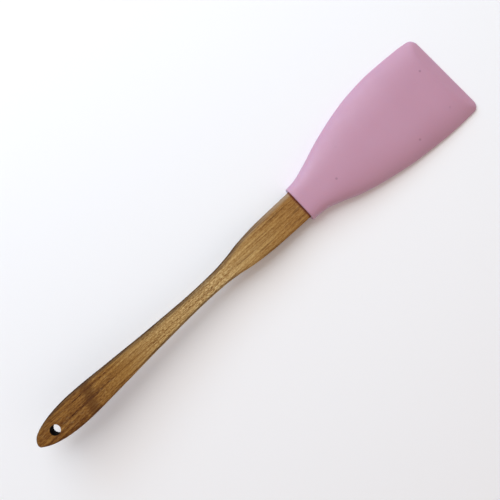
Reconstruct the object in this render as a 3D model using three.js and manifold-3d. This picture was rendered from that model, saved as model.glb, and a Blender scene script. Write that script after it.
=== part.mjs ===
// Offset spatula (baker's turner): a bamboo handle is glued into the socket of a stiff nylon core,
// and a silicone head is moulded around the core and the handle's end.
// Millimetres, +Z up, +X from the handle's tail to the head's front edge, +Y to the left of +X.
// The head lies flat on its underside and the handle rises from it towards its tail.

import * as THREE from "three";
import { mergeVertices } from "three/addons/utils/BufferGeometryUtils.js";
import Module from "manifold-3d";

const wasm = await Module();
wasm.setup();

// ---------------------------------------------------------------------------
// Driving dimensions. X is measured from the collar, where the handle enters the head.
// ---------------------------------------------------------------------------

const degrees = Math.PI / 180;
const gap = 0.3; // left between pieces that touch
const glueGap = 0.15; // left on each side of the thin glue line

const head = {
  length: 118.4,
  collarHeight: 12.6,
  frontHeight: 6.2, // where the front bevel starts
  bevelLength: 8.5,
  bevelBlend: 0.6, // how soft the bevel's borders are
  lipHeight: 2.0, // thickness of the front edge
  cornerRadius: 3.8, // front corners, seen from above
  edgeRounding: 0.6,
  collarSlant: 1.0 * degrees, // how far each end is turned from square
  frontSlant: 2.5 * degrees,
};

const handle = {
  length: 201.3, // exposed, along its own axis
  insert: 9.9, // full section inside the collar
  pitch: 4.6 * degrees,
  axisHeight: 6.6, // of the axis at the collar
  tailThickness: 8.4,
  collarThickness: 7.9,
  edgeRadius: 1.8,
  tipLength: 30, // of the half ellipse at the tail
  tailHalfWidth: 9.2,
  neckHalfWidth: 4.97,
  collarHalfWidth: 9.72,
  tailSway: 0.4, // the middle line drifts this far to the right
  swayEnd: 60, // and runs straight from here towards the tip
  tipSkew: 0.9, // the very tip leans further to the right
  skewLength: 3.2,
};

const hangingHole = {
  diameter: 6.2,
  fromTip: 13,
  offset: -0.5, // to the right of the middle line
  sides: 48,
};

const tang = { halfWidth: 6, thickness: 4, length: 23, centreHeight: 5.8, edgeRadius: 0.6 };

const core = {
  socketWall: 1.3,
  mouth: 10.3, // X of the socket's open end
  plateStart: 16,
  plateEnd: 107,
  plateBottom: 1.6,
  plateThickness: 1.7,
  plateMargin: 8, // silicone left around the plate, seen from above
  spineHalfWidth: 3.5,
  spineEnd: 84,
  keyRadius: 3, // holes that the silicone flows through
};

// ---------------------------------------------------------------------------
// Curves
// ---------------------------------------------------------------------------

// A smooth height over [x, y] stations that never overshoots between them.
function smoothThrough(stations, startSlope = 0, endSlope = 0) {
  const last = stations.length - 1;
  const rises = stations.slice(1).map(([x, y], i) => (y - stations[i][1]) / (x - stations[i][0]));
  const slopes = stations.map((_, i) => {
    if (i === 0) return startSlope;
    if (i === last) return endSlope;
    const [before, after] = [rises[i - 1], rises[i]];
    return before * after > 0 ? (2 * before * after) / (before + after) : 0;
  });
  return (x) => {
    const found = stations.findIndex(([next]) => x < next);
    const i = found < 0 ? last - 1 : Math.max(found - 1, 0);
    const [x0, y0] = stations[i];
    const [x1, y1] = stations[i + 1];
    const width = x1 - x0;
    const t = Math.min(Math.max((x - x0) / width, 0), 1);
    const ease = t * t * (3 - 2 * t);
    const startPart = t * (1 - t) * (1 - t) * width * slopes[i];
    const endPart = t * t * (1 - t) * width * slopes[i + 1];
    return y0 + (y1 - y0) * ease + startPart - endPart;
  };
}

const mix = THREE.MathUtils.lerp;

// The head seen from above: each side leaves the straight collar and flares to the blade.
const headLeft = smoothThrough(
  [
    [0, 12.0], [6, 12.5], [18, 15.9], [32, 20.9], [51, 26.1],
    [66, 28.9], [84, 30.2], [107, 29.3], [head.length, 27.8],
  ],
  0, -0.14,
);
const headRight = smoothThrough(
  [
    [0, 12.25], [9, 12.6], [20, 15.8], [32, 20.4], [51, 25.0],
    [72, 28.3], [100, 29.95], [head.length, 29.4],
  ],
  0, -0.06,
);

// The head seen from the side: the top falls to the front bevel over a flat underside.
const bevelStart = head.length - head.bevelLength;
const headTop = smoothThrough(
  [[0, head.collarHeight], [18, 12.3], [45, 11.0], [80, 8.7], [bevelStart, head.frontHeight]],
  0, -0.085,
);
const shoulderHeight = (x) => mix(4.6, 1.1, x / head.length); // of the widest line of each side
const undersideCorner = (x) => mix(3.0, 1.3, Math.min(x / 40, 1));

// The crown is square-shouldered at the collar and slopes away on both sides at the front.
const crownPower = smoothThrough([[0, 3.4], [40, 2.6], [head.length, 4.0]]);
const crownFall = smoothThrough([[0, 0.59], [40, 0.9], [head.length, 1.7]]);

// The handle seen from above, against the distance from the tail's tip.
const handleTaper = smoothThrough([
  [handle.tipLength, handle.tailHalfWidth],
  [60, 7.75],
  [87, 6.2],
  [124, handle.neckHalfWidth],
  [136, 5.22],
  [148, 6.35],
  [155, 7.6],
  [163, 8.6],
  [177, 9.48],
  [handle.length, handle.collarHalfWidth],
]);

function handleHalfWidth(fromTip) {
  if (fromTip >= handle.tipLength) return handleTaper(fromTip);
  const before = 1 - fromTip / handle.tipLength;
  return handle.tailHalfWidth * Math.sqrt(1 - before * before);
}

function handleSway(fromTip) {
  const back = THREE.MathUtils.smoothstep(fromTip, handle.swayEnd, handle.length);
  const lean = Math.max(1 - fromTip / handle.skewLength, 0) ** 2;
  return -handle.tailSway * (1 - back) - handle.tipSkew * lean;
}

// ---------------------------------------------------------------------------
// Solids
// ---------------------------------------------------------------------------

function solidOf(geometry) {
  const bare = geometry.clone();
  bare.deleteAttribute("normal");
  bare.deleteAttribute("uv");
  const merged = mergeVertices(bare, 1e-4);
  return new wasm.Manifold(new wasm.Mesh({
    numProp: 3,
    vertProperties: new Float32Array(merged.attributes.position.array),
    triVerts: new Uint32Array(merged.index.array),
  }));
}

function geometryOf(solid) {
  const { vertProperties, triVerts } = solid.getMesh();
  const geometry = new THREE.BufferGeometry();
  geometry.setAttribute("position", new THREE.BufferAttribute(new Float32Array(vertProperties), 3));
  geometry.setIndex(new THREE.BufferAttribute(new Uint32Array(triVerts), 1));
  geometry.computeVertexNormals();
  return geometry;
}

// A box between two X stations, the same distance to each side of the middle.
function block(start, end, halfWidth, bottom, top) {
  const geometry = new THREE.BoxGeometry(end - start, 2 * halfWidth, top - bottom);
  geometry.translate((start + end) / 2, 0, (bottom + top) / 2);
  return solidOf(geometry);
}

// ---------------------------------------------------------------------------
// Bamboo handle, in its own frame: the axis along X, the collar at 0, the tail at -length
// ---------------------------------------------------------------------------

function handleOutline() {
  const tipSteps = 20;
  const bodySteps = 40;
  const stations = [];
  for (let i = 1; i <= tipSteps; i += 1) {
    stations.push(handle.tipLength * (1 - Math.cos((i / tipSteps) * 90 * degrees)));
  }
  const bodyLength = handle.length + handle.insert - handle.tipLength;
  for (let i = 1; i <= bodySteps; i += 1) {
    stations.push(handle.tipLength + (bodyLength * i) / bodySteps);
  }
  const side = (sign) => stations.map((s) => (
    new THREE.Vector2(s - handle.length, handleSway(s) + sign * handleHalfWidth(s))
  ));
  const tip = new THREE.Vector2(-handle.length, handleSway(0));
  return new THREE.Shape([tip, ...side(-1), ...side(1).reverse()]);
}

// The slat with its edges rounded, a little thinner towards the collar. grow swells it on every side.
function handleSlat(grow) {
  const radius = handle.edgeRadius;
  const flat = handle.tailThickness - 2 * radius;
  const geometry = new THREE.ExtrudeGeometry(handleOutline(), {
    depth: flat,
    bevelThickness: radius,
    bevelSize: radius,
    bevelOffset: grow - radius,
    bevelSegments: 4,
    curveSegments: 1,
  });
  geometry.translate(0, 0, -flat / 2);
  const position = geometry.attributes.position;
  for (let i = 0; i < position.count; i += 1) {
    const share = 1 + position.getX(i) / handle.length;
    const thickness = mix(handle.tailThickness, handle.collarThickness, share) + 2 * grow;
    position.setZ(i, (position.getZ(i) * thickness) / handle.tailThickness);
  }
  return solidOf(geometry);
}

// The thin end that goes into the socket, turned back so that it lies level in the head.
function handleTang() {
  const inner = tang.halfWidth - tang.edgeRadius;
  const flat = tang.thickness - 2 * tang.edgeRadius;
  const overlap = 1.5;
  const outline = new THREE.Shape([
    new THREE.Vector2(-overlap, -inner),
    new THREE.Vector2(tang.length - tang.edgeRadius, -inner),
    new THREE.Vector2(tang.length - tang.edgeRadius, inner),
    new THREE.Vector2(-overlap, inner),
  ]);
  const geometry = new THREE.ExtrudeGeometry(outline, {
    depth: flat,
    bevelThickness: tang.edgeRadius,
    bevelSize: tang.edgeRadius,
    bevelSegments: 2,
  });
  geometry.translate(0, 0, -flat / 2);
  geometry.rotateY(-handle.pitch);
  geometry.translate(handle.insert, 0, 0);
  return solidOf(geometry);
}

// The drill for the hanging hole, longer than the slat is thick.
function holeDrill() {
  const past = 2;
  const radius = hangingHole.diameter / 2;
  const depth = handle.tailThickness + 2 * past;
  const geometry = new THREE.CylinderGeometry(radius, radius, depth, hangingHole.sides);
  geometry.rotateX(90 * degrees);
  geometry.translate(
    hangingHole.fromTip - handle.length,
    handleSway(hangingHole.fromTip) + hangingHole.offset,
    0,
  );
  return solidOf(geometry);
}

function bambooHandle() {
  const solid = handleSlat(0).add(handleTang()).subtract(holeDrill());
  return geometryOf(solid);
}

// ---------------------------------------------------------------------------
// Nylon core: a socket for the tang, a perforated plate and a spine between them
// ---------------------------------------------------------------------------

const tangTip = handle.insert + tang.length;
const socketClearance = 2 * glueGap + gap; // glue line and its gaps, on each side of the tang
const socket = {
  halfWidth: tang.halfWidth + socketClearance,
  bottom: tang.centreHeight - tang.thickness / 2 - socketClearance,
  top: tang.centreHeight + tang.thickness / 2 + socketClearance,
  end: tangTip + socketClearance,
};

function keyHoles(grow) {
  const rows = [
    { x: 50, sides: [-11, 11] },
    { x: 66, sides: [-14, 14] },
    { x: 82, sides: [-16, -6, 6, 16] },
    { x: 97, sides: [-15, 0, 15] },
  ];
  return rows.flatMap(({ x, sides }) => sides.map((y) => {
    const hole = new THREE.Path();
    hole.absarc(x, y, core.keyRadius - grow, 0, 360 * degrees, true);
    return hole;
  }));
}

function corePlate(grow) {
  const steps = 14;
  const side = (edge, sign) => Array.from({ length: steps + 1 }, (_, i) => {
    const x = mix(core.plateStart - grow, core.plateEnd + grow, i / steps);
    return new THREE.Vector2(x, sign * (edge(x) - core.plateMargin + grow));
  });
  const outline = new THREE.Shape([...side(headRight, -1), ...side(headLeft, 1).reverse()]);
  outline.holes = keyHoles(grow);
  const geometry = new THREE.ExtrudeGeometry(outline, {
    depth: core.plateThickness + 2 * grow,
    bevelEnabled: false,
    curveSegments: 8,
  });
  geometry.translate(0, 0, core.plateBottom - grow);
  return solidOf(geometry);
}

// A wedge that carries the load from the socket's roof down into the plate.
function coreSpine(grow) {
  const plateTop = core.plateBottom + core.plateThickness;
  const start = socket.end - 2;
  const side = new THREE.Shape([
    new THREE.Vector2(start, core.plateBottom),
    new THREE.Vector2(core.spineEnd + grow, core.plateBottom),
    new THREE.Vector2(core.spineEnd + grow, plateTop + grow),
    new THREE.Vector2(start, socket.top + grow),
  ]);
  const geometry = new THREE.ExtrudeGeometry(side, {
    depth: 2 * (core.spineHalfWidth + grow),
    bevelEnabled: false,
  });
  geometry.translate(0, 0, -core.spineHalfWidth - grow);
  geometry.rotateX(90 * degrees);
  return solidOf(geometry);
}

// The core without its socket. grow swells it on every side and narrows its holes.
function coreBlank(grow) {
  const wall = core.socketWall + grow;
  return block(
    core.mouth - grow, socket.end + wall, socket.halfWidth + wall, socket.bottom - wall, socket.top + wall,
  ).add(corePlate(grow)).add(coreSpine(grow));
}

function stiffeningCore() {
  const past = 1;
  const cavity = block(core.mouth - past, socket.end, socket.halfWidth, socket.bottom, socket.top);
  return geometryOf(coreBlank(0).subtract(cavity));
}

// The cured glue around the tang: a thin sleeve with a closed end.
function tangAdhesive() {
  const start = core.mouth + gap;
  const around = (distance, from) => block(
    from,
    tangTip + distance,
    tang.halfWidth + distance,
    tang.centreHeight - tang.thickness / 2 - distance,
    tang.centreHeight + tang.thickness / 2 + distance,
  );
  const past = 1;
  return geometryOf(around(glueGap + gap, start).subtract(around(glueGap, start - past)));
}

// ---------------------------------------------------------------------------
// Silicone head: cross-sections along X, hollowed for the core and the handle's end
// ---------------------------------------------------------------------------

// Stations along the head. inset pulls a section in all round and corner narrows it only.
function headStations() {
  const stations = [];
  const edgeSteps = 3;
  for (let i = 0; i < edgeSteps; i += 1) {
    const angle = (i / edgeSteps) * 90 * degrees;
    const inset = head.edgeRounding * (1 - Math.sin(angle));
    stations.push({ x: head.edgeRounding * (1 - Math.cos(angle)), inset, corner: 0 });
  }
  const bodySteps = 24;
  for (let i = 0; i < bodySteps; i += 1) {
    stations.push({ x: mix(head.edgeRounding, bevelStart, i / bodySteps), inset: 0, corner: 0 });
  }
  const bevelSteps = 3;
  const bodyEnd = head.length - head.cornerRadius;
  for (let i = 0; i < bevelSteps; i += 1) {
    stations.push({ x: mix(bevelStart, bodyEnd, i / bevelSteps), inset: 0, corner: 0 });
  }
  const cornerSteps = 6;
  for (let i = 0; i <= cornerSteps; i += 1) {
    const angle = (i / cornerSteps) * 90 * degrees;
    stations.push({
      x: bodyEnd + head.cornerRadius * Math.sin(angle),
      inset: i === cornerSteps ? head.edgeRounding : 0,
      corner: head.cornerRadius * (1 - Math.cos(angle)),
    });
  }
  return stations;
}

// A height, kept softly below the bevel that runs down to the front edge.
function underBevel(z, x) {
  const rise = (head.frontHeight - head.lipHeight) / head.bevelLength;
  const bevel = head.lipHeight + (head.length - x) * rise;
  return (z + bevel - Math.hypot(z - bevel, head.bevelBlend)) / 2;
}

// Half a section runs from the top's middle, over the crown and the corner, to the underside's middle.
const sectionSteps = { crown: 18, corner: 4, underside: 4 };
const halfSection = sectionSteps.crown + sectionSteps.corner + sectionSteps.underside;

function sectionPoint(station, step) {
  const { x, inset, corner } = station;
  const onLeft = step <= halfSection;
  const k = onLeft ? step : 2 * halfSection - step;
  const side = onLeft ? 1 : -1;
  const halfWidth = (onLeft ? headLeft(x) : headRight(x)) - inset - corner;
  const shoulder = shoulderHeight(x);
  const radius = undersideCorner(x);
  let y = 0;
  let z = inset;
  if (k <= sectionSteps.crown) {
    const angle = (k / sectionSteps.crown) * 90 * degrees;
    const rise = k === sectionSteps.crown ? 0 : Math.cos(angle) ** crownFall(x);
    y = halfWidth * Math.sin(angle) ** (2 / crownPower(x));
    z = underBevel(mix(shoulder, headTop(x), rise), x) - inset;
  } else if (k <= sectionSteps.crown + sectionSteps.corner) {
    const angle = ((k - sectionSteps.crown) / sectionSteps.corner) * 90 * degrees;
    y = halfWidth - radius * (1 - Math.cos(angle));
    z = mix(underBevel(shoulder, x) - inset, inset, Math.sin(angle));
  } else {
    y = ((halfWidth - radius) * (halfSection - k)) / sectionSteps.underside;
  }
  const slant = mix(Math.tan(head.collarSlant), Math.tan(head.frontSlant), x / head.length);
  return new THREE.Vector3(x - slant * side * y, side * y, z);
}

// A capped cylinder whose rings are pulled onto the sections.
function headBlank() {
  const stations = headStations();
  const rows = stations.length - 1;
  const sides = 2 * halfSection;
  const geometry = new THREE.CylinderGeometry(1, 1, 1, sides, rows);
  const position = geometry.attributes.position;
  for (let i = 0; i < position.count; i += 1) {
    const [across, along, up] = [position.getX(i), position.getY(i), position.getZ(i)];
    const station = stations[Math.round((0.5 - along) * rows)];
    const turn = Math.atan2(across, up) / (2 * Math.PI);
    const step = (Math.round(turn * sides) + sides) % sides;
    const onCapCentre = Math.hypot(across, up) < 0.5;
    const point = onCapCentre
      ? new THREE.Vector3(station.x, 0, underBevel(headTop(station.x), station.x) / 2)
      : sectionPoint(station, step);
    position.setXYZ(i, point.x, point.y, point.z);
  }
  return solidOf(geometry);
}

const handlePlace = new THREE.Matrix4()
  .makeRotationY(handle.pitch)
  .setPosition(0, 0, handle.axisHeight);

function siliconeHead() {
  const handleRoom = solidOf(geometryOf(handleSlat(gap)).applyMatrix4(handlePlace));
  const halfThickness = tang.thickness / 2 + gap;
  const reach = 2;
  const throat = block(
    handle.insert - reach,
    core.mouth + reach,
    tang.halfWidth + gap,
    tang.centreHeight - halfThickness,
    tang.centreHeight + halfThickness,
  );
  return geometryOf(headBlank().subtract(coreBlank(gap)).subtract(handleRoom).subtract(throat));
}

// ---------------------------------------------------------------------------
// Assembly
// ---------------------------------------------------------------------------

function piece(name, geometry, colour, roughness) {
  const material = new THREE.MeshStandardMaterial({ color: colour, roughness, metalness: 0 });
  const mesh = new THREE.Mesh(geometry, material);
  mesh.name = name;
  return mesh;
}

const bamboo = piece("bamboo_handle", bambooHandle(), "#9c7442", 0.55);
bamboo.applyMatrix4(handlePlace);

const assembly = new THREE.Group();
assembly.add(
  bamboo,
  piece("silicone_head", siliconeHead(), "#d9a3bf", 0.6),
  piece("stiffening_core", stiffeningCore(), "#d8d2c4", 0.5),
  piece("tang_adhesive", tangAdhesive(), "#c9a24e", 0.3),
);

// The origin is the middle of the bounding box on the surface that the head lies on.
const spatula = new THREE.Group();
spatula.add(assembly);
spatula.updateMatrixWorld(true);
const box = new THREE.Box3().setFromObject(assembly, true);
assembly.position.set(-(box.min.x + box.max.x) / 2, -(box.min.y + box.max.y) / 2, -box.min.z);

export default spatula;
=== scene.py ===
import bisect
import math

import bmesh
import bpy
from mathutils import Matrix, Vector


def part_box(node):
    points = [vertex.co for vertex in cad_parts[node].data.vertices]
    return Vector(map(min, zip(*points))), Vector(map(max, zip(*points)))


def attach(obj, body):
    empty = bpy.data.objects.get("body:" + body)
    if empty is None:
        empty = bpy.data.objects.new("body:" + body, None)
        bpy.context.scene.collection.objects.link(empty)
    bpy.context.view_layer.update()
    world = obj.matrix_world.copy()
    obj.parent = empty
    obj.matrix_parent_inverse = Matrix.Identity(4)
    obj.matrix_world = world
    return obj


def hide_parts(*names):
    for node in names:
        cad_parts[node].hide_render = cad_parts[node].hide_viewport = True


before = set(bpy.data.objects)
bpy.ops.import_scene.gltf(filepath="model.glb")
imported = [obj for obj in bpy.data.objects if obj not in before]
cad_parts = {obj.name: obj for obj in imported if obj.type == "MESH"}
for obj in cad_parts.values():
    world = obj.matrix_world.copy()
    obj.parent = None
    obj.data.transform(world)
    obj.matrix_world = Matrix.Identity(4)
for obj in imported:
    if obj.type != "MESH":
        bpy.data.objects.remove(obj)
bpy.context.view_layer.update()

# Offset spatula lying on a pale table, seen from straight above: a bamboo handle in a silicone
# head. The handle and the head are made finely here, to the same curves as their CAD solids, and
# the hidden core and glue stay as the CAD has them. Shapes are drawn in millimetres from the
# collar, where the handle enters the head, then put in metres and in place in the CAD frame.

MM = 0.001
QUARTER = math.pi / 2
SHARP_ANGLE = math.radians(38)  # between faces that meet in an edge rather than in a curve

# ---------------------------------------------------------------------------
# Sizes, in millimetres
# ---------------------------------------------------------------------------

GAP = 0.3  # between pieces that touch

HEAD_LENGTH = 118.4
COLLAR_HEIGHT = 12.6
FRONT_HEIGHT = 6.2  # where the front bevel starts
LIP_HEIGHT = 2.0
BEVEL_LENGTH = 8.5
BEVEL_START = HEAD_LENGTH - BEVEL_LENGTH
BEVEL_BLEND = 0.6  # how soft the bevel's borders are
CORNER_RADIUS = 3.8
HEAD_EDGE = 0.6  # rounding of the head's ends
COLLAR_SLANT = math.tan(math.radians(1.0))
FRONT_SLANT = math.tan(math.radians(2.5))

HANDLE_LENGTH = 201.3
INSERT = 9.9  # of the handle's full section inside the collar
PITCH = math.radians(4.6)
AXIS_HEIGHT = 6.6  # of the handle at the collar
TAIL_THICKNESS = 8.4
COLLAR_THICKNESS = 7.9
HANDLE_EDGE = 1.8
TIP_LENGTH = 30.0  # of the half ellipse at the tail
TAIL_HALF_WIDTH = 9.2
TAIL_SWAY = 0.4  # the middle line drifts this far to the right
SWAY_END = 60.0  # and runs straight from here towards the tip
TIP_SKEW = 0.9  # the very tip leans further to the right
SKEW_LENGTH = 3.2

HOLE_RADIUS = 3.1
HOLE_FROM_TIP = 13.0
HOLE_OFFSET = -0.5  # to the right of the middle line
HOLE_SIDES = 96

TANG_LENGTH = 23.0
TANG_WIDTH = 12.0
TANG_THICKNESS = 4.0
TANG_EDGE = 0.6
TANG_OVERLAP = 1.5  # of the tang inside the slat that it is joined to


def mix(a, b, share):
    return a + (b - a) * share


def smoothstep(low, high, x):
    t = min(max((x - low) / (high - low), 0.0), 1.0)
    return t * t * (3 - 2 * t)


def smooth_through(stations, start_slope=0.0, end_slope=0.0):
    """A smooth height over (x, y) stations that never overshoots between them."""
    xs = [x for x, _ in stations]
    ys = [y for _, y in stations]
    rises = [(ys[i + 1] - ys[i]) / (xs[i + 1] - xs[i]) for i in range(len(xs) - 1)]
    slopes = [start_slope]
    for before, after in zip(rises, rises[1:]):
        slopes.append(2 * before * after / (before + after) if before * after > 0 else 0.0)
    slopes.append(end_slope)

    def height(x):
        i = min(max(bisect.bisect_right(xs, x) - 1, 0), len(xs) - 2)
        width = xs[i + 1] - xs[i]
        t = min(max((x - xs[i]) / width, 0.0), 1.0)
        start_part = t * (1 - t) ** 2 * width * slopes[i]
        end_part = t * t * (1 - t) * width * slopes[i + 1]
        return mix(ys[i], ys[i + 1], t * t * (3 - 2 * t)) + start_part - end_part

    return height


# The head from above, one curve for each side.
head_left = smooth_through(
    [(0, 12.0), (6, 12.5), (18, 15.9), (32, 20.9), (51, 26.1), (66, 28.9), (84, 30.2),
     (107, 29.3), (HEAD_LENGTH, 27.8)],
    0, -0.14,
)
head_right = smooth_through(
    [(0, 12.25), (9, 12.6), (20, 15.8), (32, 20.4), (51, 25.0), (72, 28.3), (100, 29.95),
     (HEAD_LENGTH, 29.4)],
    0, -0.06,
)

# The head from the side, and how square its crown is in section.
head_top = smooth_through(
    [(0, COLLAR_HEIGHT), (18, 12.3), (45, 11.0), (80, 8.7), (BEVEL_START, FRONT_HEIGHT)],
    0, -0.085,
)
crown_power = smooth_through([(0, 3.4), (40, 2.6), (HEAD_LENGTH, 4.0)])
crown_fall = smooth_through([(0, 0.59), (40, 0.9), (HEAD_LENGTH, 1.7)])


def shoulder_height(x):
    """Of the widest line of each side."""
    return mix(4.6, 1.1, x / HEAD_LENGTH)


def underside_corner(x):
    """How far each side curves in below its widest line."""
    return mix(3.0, 1.3, min(x / 40, 1))


# Half the handle's width, against the distance from the tail's tip.
handle_taper = smooth_through([
    (TIP_LENGTH, TAIL_HALF_WIDTH), (60, 7.75), (87, 6.2), (124, 4.97), (136, 5.22), (148, 6.35),
    (155, 7.6), (163, 8.6), (177, 9.48), (HANDLE_LENGTH, 9.72),
])


def handle_half_width(from_tip):
    if from_tip >= TIP_LENGTH:
        return handle_taper(from_tip)
    before = 1 - from_tip / TIP_LENGTH
    return TAIL_HALF_WIDTH * math.sqrt(max(1 - before * before, 0.0))


def handle_sway(from_tip):
    back = smoothstep(SWAY_END, HANDLE_LENGTH, from_tip)
    lean = max(1 - from_tip / SKEW_LENGTH, 0) ** 2
    return -TAIL_SWAY * (1 - back) - TIP_SKEW * lean


# ---------------------------------------------------------------------------
# Mesh helpers
# ---------------------------------------------------------------------------


def new_object(name, mesh):
    piece = bpy.data.objects.new(name, mesh)
    bpy.context.scene.collection.objects.link(piece)
    return piece


def tidy_mesh(mesh, merge=1e-6, turn_outward=True):
    """Merges doubled points, drops faces without area and turns every face outward.

    The merging distance is in the mesh's own units."""
    work = bmesh.new()
    work.from_mesh(mesh)
    bmesh.ops.remove_doubles(work, verts=work.verts, dist=merge)
    bmesh.ops.dissolve_degenerate(work, edges=work.edges, dist=merge)
    if turn_outward:
        bmesh.ops.recalc_face_normals(work, faces=work.faces)
    work.to_mesh(mesh)
    work.free()
    return mesh


def tube(name, rings, attributes=None, pointed=False):
    """A closed tube through rings of equally many points, with numbers stored on the points.

    The first ring of a pointed tube closes on itself and needs no cap."""
    count = len(rings[0])
    last = (len(rings) - 1) * count
    faces = [tuple(last + i for i in range(count))]
    if not pointed:
        faces.append(tuple(reversed(range(count))))
    for row in range(len(rings) - 1):
        here = row * count
        there = here + count
        for i in range(count):
            j = (i + 1) % count
            faces.append((here + i, here + j, there + j, there + i))
    mesh = bpy.data.meshes.new(name)
    mesh.from_pydata([point for ring in rings for point in ring], [], faces)
    for key, values in (attributes or {}).items():
        layer = mesh.attributes.new(key, "FLOAT", "POINT")
        layer.data.foreach_set("value", [value for ring in values for value in ring])
    return new_object(name, tidy_mesh(mesh, merge=1e-4))


def cut(piece, tool, operation="DIFFERENCE"):
    """Cuts a tool away from a piece, or joins it, and removes the tool.

    Faces aren't turned here, because those of a sealed room point into it."""
    modifier = piece.modifiers.new("cut", "BOOLEAN")
    modifier.operation = operation
    modifier.solver = "EXACT"
    modifier.object = tool
    graph = bpy.context.evaluated_depsgraph_get()
    mesh = bpy.data.meshes.new_from_object(piece.evaluated_get(graph), depsgraph=graph)
    piece.modifiers.remove(modifier)
    whole = piece.data
    piece.data = tidy_mesh(mesh, turn_outward=False)
    bpy.data.meshes.remove(whole)
    bpy.data.objects.remove(tool)


def block(low, high):
    """A box between two corners, to cut with."""
    mesh = bpy.data.meshes.new("block")
    work = bmesh.new()
    size = Vector(high) - Vector(low)
    place = Matrix.Translation((Vector(low) + Vector(high)) / 2) @ Matrix.Diagonal((*size, 1))
    bmesh.ops.create_cube(work, size=1, matrix=place)
    work.to_mesh(mesh)
    work.free()
    return new_object("block", mesh)


def swollen_copy(node, amount):
    """A copy of a CAD node's solid, larger by an amount on every side, to cut with."""
    mesh = tidy_mesh(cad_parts[node].data.copy())
    work = bmesh.new()
    work.from_mesh(mesh)
    work.normal_update()
    moves = [point.normal * (amount * point.calc_shell_factor()) for point in work.verts]
    for point, move in zip(work.verts, moves):
        point.co += move
    work.to_mesh(mesh)
    work.free()
    return new_object("swollen_" + node, mesh)


def smooth_shade(piece):
    for polygon in piece.data.polygons:
        polygon.use_smooth = True
    piece.data.set_sharp_from_angle(angle=SHARP_ANGLE)


# ---------------------------------------------------------------------------
# Silicone head: sections along X, hollowed for the core and the handle's end
# ---------------------------------------------------------------------------

BODY_ROWS = 130
CORNER_ROWS = 12
EDGE_ROWS = 5
CROWN_STEPS = 34
SIDE_STEPS = 8
BOTTOM_STEPS = 10
HALF_RING = CROWN_STEPS + SIDE_STEPS + BOTTOM_STEPS


def head_stations():
    """(x, inset, corner) of each ring: inset pulls it in all round and corner narrows it only."""
    stations = []
    for i in range(EDGE_ROWS):
        angle = QUARTER * i / EDGE_ROWS
        stations.append((HEAD_EDGE * (1 - math.cos(angle)), HEAD_EDGE * (1 - math.sin(angle)), 0.0))
    body_end = HEAD_LENGTH - CORNER_RADIUS
    for i in range(BODY_ROWS):
        stations.append((mix(HEAD_EDGE, body_end, i / BODY_ROWS), 0.0, 0.0))
    for i in range(CORNER_ROWS + 1):
        angle = QUARTER * i / CORNER_ROWS
        x = body_end + CORNER_RADIUS * math.sin(angle)
        into_edge = max(HEAD_EDGE - (HEAD_LENGTH - x), 0.0)
        inset = HEAD_EDGE - math.sqrt(HEAD_EDGE**2 - into_edge**2)
        stations.append((x, inset, CORNER_RADIUS * (1 - math.cos(angle))))
    return stations


def under_bevel(z, x):
    """A height, kept softly below the front bevel."""
    rise = (FRONT_HEIGHT - LIP_HEIGHT) / BEVEL_LENGTH
    bevel = LIP_HEIGHT + (HEAD_LENGTH - x) * rise
    return (z + bevel - math.hypot(z - bevel, BEVEL_BLEND)) / 2


def head_point(station, step):
    """A point of a section, counted from the top's middle round the left side."""
    x, inset, corner = station
    on_left = step <= HALF_RING
    k = step if on_left else 2 * HALF_RING - step
    side = 1 if on_left else -1
    half_width = (head_left(x) if on_left else head_right(x)) - inset - corner
    shoulder = shoulder_height(x)
    radius = underside_corner(x)
    if k <= CROWN_STEPS:
        angle = QUARTER * k / CROWN_STEPS
        y = half_width * math.sin(angle) ** (2 / crown_power(x))
        crown = mix(shoulder, head_top(x), max(math.cos(angle), 0.0) ** crown_fall(x))
        z = under_bevel(crown, x) - inset
    elif k <= CROWN_STEPS + SIDE_STEPS:
        angle = QUARTER * (k - CROWN_STEPS) / SIDE_STEPS
        y = half_width - radius * (1 - math.cos(angle))
        z = mix(under_bevel(shoulder, x) - inset, inset, math.sin(angle))
    else:
        y = (half_width - radius) * (HALF_RING - k) / BOTTOM_STEPS
        z = inset
    slant = mix(COLLAR_SLANT, FRONT_SLANT, x / HEAD_LENGTH)
    return (x - slant * side * y, side * y, z)


def head_rings():
    steps = range(2 * HALF_RING)
    return [[head_point(station, step) for step in steps] for station in head_stations()]


def design_place(rings):
    """The move from millimetres at the collar to the CAD frame, found from the head's rings."""
    points = [point for ring in rings for point in ring]
    middle = [(min(p[k] for p in points) + max(p[k] for p in points)) / 2 for k in range(2)]
    low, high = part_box("silicone_head")
    move = Vector((*((low + high) / 2).xy, 0)) - Vector((*middle, 0)) * MM
    return Matrix.Translation(move) @ Matrix.Scale(MM, 4)


def make_head(rings, place):
    """The head, hollowed for the core, the glue and the handle's end."""
    head = tube("silicone_head_fine", rings)
    head.data.transform(place)
    glue_low, glue_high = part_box("tang_adhesive")
    room = Vector((0.5, 0.5, 0.5)) * MM
    throat = Vector((2, 0, 0)) * MM  # joins the core's room to the handle's
    cut(head, swollen_copy("stiffening_core", GAP * MM))
    cut(head, block(glue_low - room - throat, glue_high + room))
    cut(head, swollen_copy("bamboo_handle", GAP * MM))
    smooth_shade(head)
    head.data.materials.append(silicone_material())
    return head


# ---------------------------------------------------------------------------
# Bamboo handle: a slat with rounded edges, a drilled hole and a tang
# ---------------------------------------------------------------------------

TIP_ROWS = 60
SLAT_ROWS = 170
END_ROWS = 8
FACE_STRIPS = 18
EDGE_STEPS = 10

# How far the painted shade along the left side reaches in from the left rim, and how softly it ends.
shade_depth = smooth_through([(40, 1.0), (90, 1.6)])
SHADE_FADE = 1.4
SHADE_START = (2, 20)  # from the tip


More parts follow.
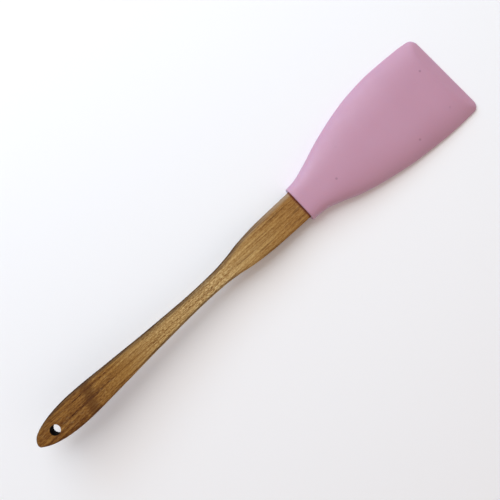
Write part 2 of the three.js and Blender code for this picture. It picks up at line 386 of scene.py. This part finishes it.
def handle_stations():
    """Distances from the tip, close together round the tip and at the inner end's rounding."""
    rounding_start = HANDLE_LENGTH + INSERT - HANDLE_EDGE
    tip = [TIP_LENGTH * (1 - math.cos(QUARTER * i / TIP_ROWS)) for i in range(TIP_ROWS)]
    slat = [mix(TIP_LENGTH, rounding_start, i / SLAT_ROWS) for i in range(SLAT_ROWS)]
    turns = [QUARTER * i / END_ROWS for i in range(END_ROWS + 1)]
    return tip + slat + [rounding_start + HANDLE_EDGE * math.sin(turn) for turn in turns]


def rim_point(from_tip, side):
    """A point of the outline seen from above: side is 1 on the left and -1 on the right."""
    y = handle_sway(from_tip) + side * handle_half_width(from_tip)
    return Vector((from_tip - HANDLE_LENGTH, y))


def rim_outward(from_tip, side):
    """The outline's direction outward, found from two points close to each other."""
    if from_tip == 0.0:
        return Vector((-1.0, 0.0))
    step = min(0.02, from_tip)
    along = rim_point(from_tip + step, side) - rim_point(from_tip - step, side)
    return Vector((-side * along.y, side * along.x)).normalized()


def handle_ring(from_tip):
    """A section's points, and on each how far round an edge it is and how deep in the painted shade.

    The first number goes from 0 on the faces to 1 at the left side and -1 at the right side. The
    second is 1 in the band of painted shade along the left side."""
    flat_half = TAIL_THICKNESS / 2 - HANDLE_EDGE
    past = max(from_tip - (HANDLE_LENGTH + INSERT - HANDLE_EDGE), 0.0)
    ceiling = flat_half + math.sqrt(max(HANDLE_EDGE**2 - past**2, 0.0))
    stretch = mix(TAIL_THICKNESS, COLLAR_THICKNESS, from_tip / HANDLE_LENGTH) / TAIL_THICKNESS
    shade_here = smoothstep(*SHADE_START, from_tip)
    turns = [QUARTER * (i / EDGE_STEPS - 1) for i in range(2 * EDGE_STEPS + 1)]

    def edge_point(side, turn):
        inset = HANDLE_EDGE * (1 - math.cos(turn))
        place = rim_point(from_tip, side) - rim_outward(from_tip, side) * inset
        height = min(flat_half + HANDLE_EDGE * math.sin(abs(turn)), ceiling)
        return (place.x, place.y, math.copysign(height * stretch, turn) if turn else 0.0)

    def face_points(start, end):
        return [tuple(Vector(start).lerp(Vector(end), i / FACE_STRIPS)) for i in range(1, FACE_STRIPS)]

    left = [edge_point(1, turn) for turn in turns]
    right = [edge_point(-1, turn) for turn in reversed(turns)]
    points = left + face_points(left[-1], right[0]) + right + face_points(right[-1], left[0])
    flat = [0.0] * (FACE_STRIPS - 1)
    rounds = [math.cos(turn) for turn in turns] + flat + [-math.cos(turn) for turn in turns] + flat
    depths = [(Vector(point).xy - rim_point(from_tip, 1)).length for point in points]
    shade_end = shade_depth(from_tip)
    shade_shares = [shade_here * (1 - smoothstep(shade_end, shade_end + SHADE_FADE, depth)) for depth in depths]
    return points, rounds, shade_shares


def hole_drill():
    """The drill for the hanging hole, longer than the slat is thick."""
    half_depth = TAIL_THICKNESS / 2 + 2.0
    x = HOLE_FROM_TIP - HANDLE_LENGTH
    y = handle_sway(HOLE_FROM_TIP) + HOLE_OFFSET
    angles = [2 * math.pi * i / HOLE_SIDES for i in range(HOLE_SIDES)]
    circle = [(x + HOLE_RADIUS * math.cos(a), y + HOLE_RADIUS * math.sin(a)) for a in angles]
    return tube("drill", [[(*point, z) for point in circle] for z in (-half_depth, half_depth)])


def tang_block():
    """The thin end in the socket, turned back so that it lies level."""
    work = bmesh.new()
    size = (TANG_LENGTH + TANG_OVERLAP, TANG_WIDTH, TANG_THICKNESS)
    bmesh.ops.create_cube(work, size=1, matrix=Matrix.Diagonal((*size, 1)))
    bmesh.ops.bevel(
        work, geom=list(work.edges), offset=TANG_EDGE, segments=3, profile=0.5, affect="EDGES"
    )
    mesh = bpy.data.meshes.new("tang")
    work.to_mesh(mesh)
    work.free()
    mesh.transform(Matrix.Translation((size[0] / 2 - TANG_OVERLAP, 0, 0)))
    mesh.transform(Matrix.Rotation(-PITCH, 4, "Y"))
    mesh.transform(Matrix.Translation((INSERT, 0, 0)))
    return new_object("tang", mesh)


def make_handle(place, wood, bore):
    """The handle, drilled and with its tang: wood all over but for the hole's bore."""
    rings, rounds, shade_shares = zip(*(handle_ring(station) for station in handle_stations()))
    # The points carry how far round an edge they are and their share of painted shade along the left
    # side.
    handle = tube("bamboo_handle_fine", rings, {"round_edge": rounds, "left_shade": shade_shares}, pointed=True)
    drill = hole_drill()
    for piece in (handle, drill):
        piece.data.materials.append(wood)
        piece.data.materials.append(bore)
    for polygon in drill.data.polygons:
        polygon.material_index = 1
    cut(handle, drill)
    cut(handle, tang_block(), "UNION")
    handle.data.transform(Matrix.Rotation(PITCH, 4, "Y"))
    handle.data.transform(Matrix.Translation((0, 0, AXIS_HEIGHT)))
    handle.data.transform(place)
    smooth_shade(handle)
    return handle


# ---------------------------------------------------------------------------
# Materials
# ---------------------------------------------------------------------------

LIGHT_LEVEL = 1.16  # brightness of a level white surface under these lights
NOISE_RANGE = (0.3, 0.7)  # most of a noise lies between these


def linear(colour, level=1.0):
    """An sRGB colour, 0 to 255, as the linear colour that a shader takes."""
    shares = [c / 255 for c in colour]
    lines = [s / 12.92 if s <= 0.04045 else ((s + 0.055) / 1.055) ** 2.4 for s in shares]
    return (*(line / level for line in lines), 1.0)


def lit(*colour):
    """The shader colour that looks like the given sRGB colour on a level surface."""
    return linear(colour, LIGHT_LEVEL)


class Shader:
    """A material with a Principled shader, and short ways to add and join its nodes."""

    def __init__(self, name, **settings):
        self.material = bpy.data.materials.new(name)
        self.material.use_nodes = True
        self.tree = self.material.node_tree
        self.principled = self.tree.nodes["Principled BSDF"]
        for socket, value in settings.items():
            self.shade(socket.replace("_", " "), value)

    def put(self, socket, value):
        if isinstance(value, bpy.types.NodeSocket):
            self.tree.links.new(value, socket)
        else:
            socket.default_value = value

    def shade(self, socket, value):
        self.put(self.principled.inputs[socket], value)

    def node(self, kind, inputs, output=0, **settings):
        made = self.tree.nodes.new("ShaderNode" + kind)
        for key, value in settings.items():
            setattr(made, key, value)
        for socket, value in inputs.items():
            self.put(made.inputs[socket], value)
        return made.outputs[output]

    def place(self, scale=(1, 1, 1), turn=(0, 0, 0)):
        """Object coordinates, turned and then scaled. The scale sets a noise's spots per metre."""
        coordinates = self.node("TexCoord", {}, "Object")
        turned = self.node("Mapping", {"Vector": coordinates, "Rotation": turn})
        return self.node("Mapping", {"Vector": turned, "Scale": scale})

    def noise(self, vector, detail=2.0, roughness=0.5):
        inputs = {"Vector": vector, "Scale": 1.0, "Detail": detail, "Roughness": roughness}
        return self.node("TexNoise", inputs, "Fac")

    def between(self, value, low, high, start=0.0, end=1.0):
        """Start below low, end above high, and a smooth change between them."""
        inputs = {"Value": value, "From Min": low, "From Max": high, "To Min": start, "To Max": end}
        return self.node("MapRange", inputs, interpolation_type="SMOOTHSTEP")

    def spread(self, noise, start=0.0, end=1.0):
        """Start where a noise is low and end where it is high."""
        return self.between(noise, *NOISE_RANGE, start, end)

    def maths(self, operation, a, b=0.0):
        return self.node("Math", {0: a, 1: b}, operation=operation)

    def joined(self, operation, values):
        """One number from several, by the same operation on each in turn."""
        result, *others = values
        for value in others:
            result = self.maths(operation, result, value)
        return result

    def total(self, *values):
        return self.joined("ADD", values)

    def times(self, *values):
        return self.joined("MULTIPLY", values)

    def blend(self, share, a, b, how="MIX"):
        inputs = {"Factor": share, "A": a, "B": b}
        made = self.tree.nodes.new("ShaderNodeMix")
        made.data_type = "RGBA"
        made.blend_type = how
        colour_sockets = {socket.name: socket for socket in made.inputs if socket.enabled}
        for name, value in inputs.items():
            self.put(colour_sockets[name], value)
        return next(socket for socket in made.outputs if socket.enabled)

    def ramp(self, value, stops):
        made = self.tree.nodes.new("ShaderNodeValToRGB")
        self.put(made.inputs["Fac"], value)
        elements = made.color_ramp.elements
        while len(elements) < len(stops):
            elements.new(0.5)
        for element, (position, colour) in zip(elements, stops):
            element.position = position
            element.color = colour
        return made.outputs["Color"]

    def bump(self, height, distance, strength=1.0):
        return self.node("Bump", {"Height": height, "Distance": distance, "Strength": strength})


# Colours along the handle, each at its millimetres behind the collar.
BAMBOO_TONES = [
    (6, lit(162, 113, 55)),
    (22, lit(166, 120, 62)),
    (42, lit(184, 142, 83)),
    (70, lit(195, 156, 99)),
    (112, lit(184, 143, 84)),
    (138, lit(158, 111, 51)),
    (165, lit(132, 85, 34)),
    (200, lit(128, 81, 30)),
]
VESSEL_MARK = lit(104, 62, 22)
PITH = lit(200, 166, 116)
NODE_BAND = lit(84, 44, 12)
# Painted light on the left side: a pale highlight near the collar, and shade at the waist and the
# tail.
HIGHLIGHT_NEAR_COLLAR = lit(172, 144, 116)
LEFT_SHADE_AT_WAIST = lit(96, 62, 32)
LEFT_SHADE_AT_TAIL = lit(76, 44, 16)
# Painted shade on the handle's rounded edges.
EDGE_SHADE = lit(54, 30, 13)
# Painted shade where the handle enters the collar.
COLLAR_SHADE = lit(112, 46, 32)

BAMBOO_NODE = 161.5  # millimetres behind the collar
NODE_SLANT = 0.3
RED_GREEN_BLUE_CONTRAST = (0.9, 1.25, 1.7)  # dark fibres are redder than light ones


class BambooShader(Shader):
    """Oiled bamboo. Each with_ method lays one more thing over the colour that it is given."""

    def __init__(self, collar):
        super().__init__("oiled_bamboo", Specular_IOR_Level=0.15)
        coordinates = self.node("TexCoord", {}, "Object")
        x = self.node("SeparateXYZ", {0: coordinates}, "X")
        self.y = self.node("SeparateXYZ", {0: coordinates}, "Y")
        self.behind = self.maths("SUBTRACT", collar.x, x)
        self.edge = self.node("Attribute", {}, "Fac", attribute_name="round_edge")
        # The share of painted shade along the left side, stored on the points.
        self.left_shade = self.node("Attribute", {}, "Fac", attribute_name="left_shade")
        self.drift = self.maths("SUBTRACT", self.fibre_noise((30, 140, 140)), 0.5)
        self.streaks = self.fibre_noise((5, 850, 850), detail=1)
        self.fibres = self.fibre_noise((40, 1050, 1050), roughness=0.6)
        self.threads = self.fibre_noise((600, 2800, 2800), detail=1)
        self.vessel_marks = self.sparse_spots((70, 1100, 1100))

    def fibre_noise(self, scale, roll=0.0, **settings):
        """Noise drawn out along the handle. A roll turns it about the handle's length."""
        return self.noise(self.place(scale, (roll, -PITCH, 0)), **settings)

    def sparse_spots(self, scale, roll=0.0):
        """1 on the few highest spots of a noise drawn out along the handle, and 0 elsewhere."""
        return self.between(self.fibre_noise(scale, roll, detail=1), 0.58, 0.70)

    def along(self, near, far, start=0.0, end=1.0):
        """A smooth change between two places, in millimetres behind the collar."""
        return self.between(self.behind, near * MM, far * MM, start, end)

    def base_tone(self):
        wandering = self.total(self.behind, self.times(self.drift, 30 * MM))
        share = self.maths("DIVIDE", wandering, HANDLE_LENGTH * MM)
        return self.ramp(share, [(place / HANDLE_LENGTH, tone) for place, tone in BAMBOO_TONES])

    def with_grain(self, colour):
        """Streaks and fibres, with fine threads that show most at the waist."""
        waist = self.times(self.along(45, 70), self.along(105, 130, 1.0, 0.0))
        thread_strength = self.between(waist, 0.0, 1.0, 0.2, 0.45)
        grain = self.total(
            self.spread(self.streaks, -0.16, 0.16),
            self.spread(self.fibres, -0.16, 0.16),
            self.times(self.spread(self.threads, -1.0, 1.0), thread_strength),
        )
        tone = self.total(self.times(grain, self.along(120, 160, 1.0, 1.8)), 1.0)
        shades = [self.maths("POWER", tone, power) for power in RED_GREEN_BLUE_CONTRAST]
        return self.blend(1.0, colour, self.node("CombineColor", dict(enumerate(shades))), "MULTIPLY")

    def with_vessels(self, colour):
        """Short dark vessel marks and fine pale pith."""
        colour = self.blend(self.times(self.vessel_marks, 0.45), colour, VESSEL_MARK)
        pith = self.sparse_spots((300, 1700, 1700), roll=0.4)
        return self.blend(self.times(pith, 0.15), colour, PITH)

    def with_node(self, colour):
        """The dark band where the culm's wall crosses the slat, a little slanted and uneven."""
        from_node = self.total(
            self.maths("SUBTRACT", BAMBOO_NODE * MM, self.behind),
            self.times(self.y, -NODE_SLANT),
            self.times(self.drift, 5 * MM),
        )
        band = self.between(self.maths("ABSOLUTE", from_node), 1.0 * MM, 5.5 * MM, 0.6, 0.0)
        return self.blend(band, colour, NODE_BAND)

    def with_left_shade(self, colour):
        """Painted shade along the left side, with a painted highlight near the collar that gives way
        in streaks, and darker towards the tail.
        """
        highlight_wander = self.times(self.maths("SUBTRACT", self.streaks, 0.5), 60 * MM)
        past_highlight = self.between(self.total(self.behind, highlight_wander), 12 * MM, 50 * MM)
        tone = self.blend(past_highlight, HIGHLIGHT_NEAR_COLLAR, LEFT_SHADE_AT_WAIST)
        tone = self.blend(self.along(70, 120), tone, LEFT_SHADE_AT_TAIL)
        cover = self.times(self.left_shade, self.between(self.fibres, 0.3, 0.6, 0.95, 0.6))
        return self.blend(cover, colour, tone)

    def with_shaded_edges(self, colour):
        """Painted shade on the left edge nearly all along, and on the right edge mostly round the
        waist.
        """
        left = self.times(
            self.between(self.edge, 0.35, 0.9, 0.0, 0.9),
            self.along(15, 50, 0.2, 1.0),
            self.along(172, 188, 1.0, 0.7),
        )
        right = self.times(
            self.between(self.edge, -0.5, 0.0, 0.68, 0.0),
            self.between(self.edge, -1.0, -0.7, 0.35, 1.0),
            self.along(40, 80, 0.1, 1.0),
            self.along(112, 140, 1.0, 0.12),
        )
        edge_shade = self.times(self.total(left, right), self.spread(self.fibres, 1.0, 0.65))
        return self.blend(edge_shade, colour, EDGE_SHADE)

    def with_collar_shade(self, colour):
        """A line of painted shade where the handle enters the collar."""
        to_collar = self.total(self.behind, self.times(self.y, -COLLAR_SLANT))
        line = self.between(to_collar, 0.6 * MM, 1.7 * MM, 0.85, 0.0)
        return self.blend(line, colour, COLLAR_SHADE)

    def roughness(self):
        """Glossier on the pale fibres, and dry on the rounded edges."""
        dry = self.between(self.maths("ABSOLUTE", self.edge), 0.3, 0.8, 0.0, 0.45)
        return self.total(self.spread(self.fibres, 0.50, 0.38), dry)

    def relief(self):
        """Raised fibres and threads, with the vessel marks sunk in."""
        sunk = self.times(self.vessel_marks, -0.5)
        return self.total(self.times(self.fibres, 0.6), self.threads, sunk)


def bamboo_material(collar):
    """Oiled bamboo, whose colours are placed by their distance behind the collar."""
    shader = BambooShader(collar)
    colour = shader.base_tone()
    for layer in (
        shader.with_grain,
        shader.with_vessels,
        shader.with_node,
        shader.with_left_shade,
        shader.with_shaded_edges,
        shader.with_collar_shade,
    ):
        colour = layer(colour)
    shader.shade("Base Color", colour)
    shader.shade("Roughness", shader.roughness())
    shader.shade("Normal", shader.bump(shader.relief(), 0.15 * MM, 0.5))
    return shader.material


def bore_material():
    """The hole's drilled wall, painted near black as the shade inside the hole, with the drill's
    rings.
    """
    shader = Shader("bore_in_painted_shade", Roughness=0.9, Specular_IOR_Level=0.05)
    rings = shader.noise(shader.place((200, 200, 2500)))
    # Near-black colours: painted shade inside the hole.
    shader.shade("Base Color", shader.ramp(rings, [(0.3, lit(10, 6, 4)), (0.7, lit(28, 17, 10))]))
    shader.shade("Normal", shader.bump(rings, 0.1 * MM, 0.5))
    return shader.material


def silicone_material():
    """Satin silicone with a faint bloom, sparse dust specks and a fine mould grain."""
    shader = Shader(
        "satin_silicone", Sheen_Weight=0.4, Sheen_Roughness=0.4, Sheen_Tint=(0.6, 0.8, 1.0, 1.0),
        Subsurface_Weight=0.1, Subsurface_Scale=2 * MM, Specular_IOR_Level=0.6,
    )
    cloud = shader.noise(shader.place((30, 30, 30)))
    colour = shader.blend(shader.spread(cloud), lit(205, 149, 170), lit(208, 153, 174))
    cells = shader.tree.nodes.new("ShaderNodeTexVoronoi")
    cells.voronoi_dimensions = "2D"
    shader.put(cells.inputs["Vector"], shader.place((75, 75, 75)))
    shader.put(cells.inputs["Scale"], 1.0)
    dust = shader.between(cells.outputs["Distance"], 0.03, 0.075, 1.0, 0.0)
    chosen = shader.node("SeparateColor", {0: cells.outputs["Color"]})
    dust = shader.times(dust, shader.between(chosen, 0.88, 0.92))
    colour = shader.blend(shader.times(dust, 0.5), colour, lit(140, 92, 112))
    shader.shade("Base Color", colour)
    bloom = shader.noise(shader.place((240, 240, 240)), detail=3)
    shader.shade("Roughness", shader.spread(bloom, 0.46, 0.56))
    grain = shader.noise(shader.place((2600, 2600, 2600)))
    shader.shade("Normal", shader.bump(grain, 0.03 * MM, 0.4))
    return shader.material


def nylon_material():
    """Moulded nylon with short glass fibres in it."""
    shader = Shader("glass_filled_nylon", Roughness=0.5)
    fibres = shader.noise(shader.place((900, 3200, 3200)))
    tones = [(0.35, linear((205, 199, 184))), (0.7, linear((226, 221, 208)))]
    shader.shade("Base Color", shader.ramp(fibres, tones))
    shader.shade("Normal", shader.bump(fibres, 0.03 * MM, 0.4))
    return shader.material


def glue_material():
    """Cured amber epoxy."""
    shader = Shader("cured_epoxy")
    cloud = shader.noise(shader.place((400, 400, 400)))
    tones = [(0.3, linear((176, 132, 58))), (0.7, linear((206, 168, 92)))]
    shader.shade("Base Color", shader.ramp(cloud, tones))
    shader.shade("Roughness", shader.spread(cloud, 0.2, 0.35))
    return shader.material


# ---------------------------------------------------------------------------
# Table, light and camera
# ---------------------------------------------------------------------------

VIEW_POINT = Vector((1.10, -0.19)) * MM  # on the table, below the camera
CAMERA_HEIGHT = 350 * MM
VIEW_WIDTH = 300.7 * MM  # of table that the picture spans
VIEW_TURN = math.radians(42.44)  # the handle's direction above the picture's horizontal
LIGHT_DISTANCE = 1.2  # metres from the middle of the object


def make_table():
    half_size = 4.0
    mesh = bpy.data.meshes.new("table")
    work = bmesh.new()
    bmesh.ops.create_grid(work, x_segments=1, y_segments=1, size=half_size)
    work.to_mesh(mesh)
    work.free()
    table = new_object("table", mesh)
    shader = Shader("pale_table", Roughness=0.9, Base_Color=(0.97, 0.94, 0.925, 1.0))
    table.data.materials.append(shader.material)


def make_light(name, direction, size, power, colour):
    """A square soft box that faces the middle of the object."""
    light = bpy.data.lights.new(name, "AREA")
    light.shape = "SQUARE"
    light.size = size
    light.energy = power
    light.color = colour
    lamp = bpy.data.objects.new(name, light)
    lamp.location = Vector(direction).normalized() * LIGHT_DISTANCE
    lamp.rotation_mode = "QUATERNION"
    lamp.rotation_quaternion = Vector(direction).to_track_quat("Z", "Y")
    bpy.context.scene.collection.objects.link(lamp)


def make_lights():
    make_light("window", (0.15, 1.0, 1.1), size=1.2, power=14.0, colour=(0.83, 0.92, 1.0))
    make_light("sky", (0.1, 1.0, 0.3), size=0.8, power=4.0, colour=(0.10, 0.55, 1.0))
    make_light("fill", (0.3, -1.0, 1.0), size=0.8, power=0.4, colour=(1.0, 0.72, 0.58))
    world = bpy.data.worlds.new("studio")
    world.use_nodes = True
    background = world.node_tree.nodes["Background"]
    background.inputs["Color"].default_value = (1.0, 0.90, 0.85, 1.0)
    background.inputs["Strength"].default_value = 0.46
    bpy.context.scene.world = world


def make_camera():
    camera = bpy.data.cameras.new("camera")
    camera.sensor_width = 36.0
    camera.lens = camera.sensor_width * CAMERA_HEIGHT / VIEW_WIDTH
    camera.clip_start = 0.01
    eye = bpy.data.objects.new("camera", camera)
    eye.location = (*VIEW_POINT, CAMERA_HEIGHT)
    eye.rotation_euler = (0, 0, -VIEW_TURN)
    bpy.context.scene.collection.objects.link(eye)
    bpy.context.scene.camera = eye


def set_colour_management():
    view = bpy.context.scene.view_settings
    view.view_transform = "Standard"
    view.look = "None"
    view.exposure = 0.0
    view.gamma = 1.0


# ---------------------------------------------------------------------------
# The scene
# ---------------------------------------------------------------------------

make_camera()
make_lights()
make_table()
set_colour_management()

sections = head_rings()
in_frame = design_place(sections)
collar_place = in_frame @ Vector((0, 0, 0))

handle = make_handle(in_frame, bamboo_material(collar_place), bore_material())
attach(handle, "root")
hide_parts("bamboo_handle")

head = make_head(sections, in_frame)
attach(head, "root")
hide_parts("silicone_head")

for node, material in (("stiffening_core", nylon_material()), ("tang_adhesive", glue_material())):
    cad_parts[node].data.materials.clear()
    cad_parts[node].data.materials.append(material)
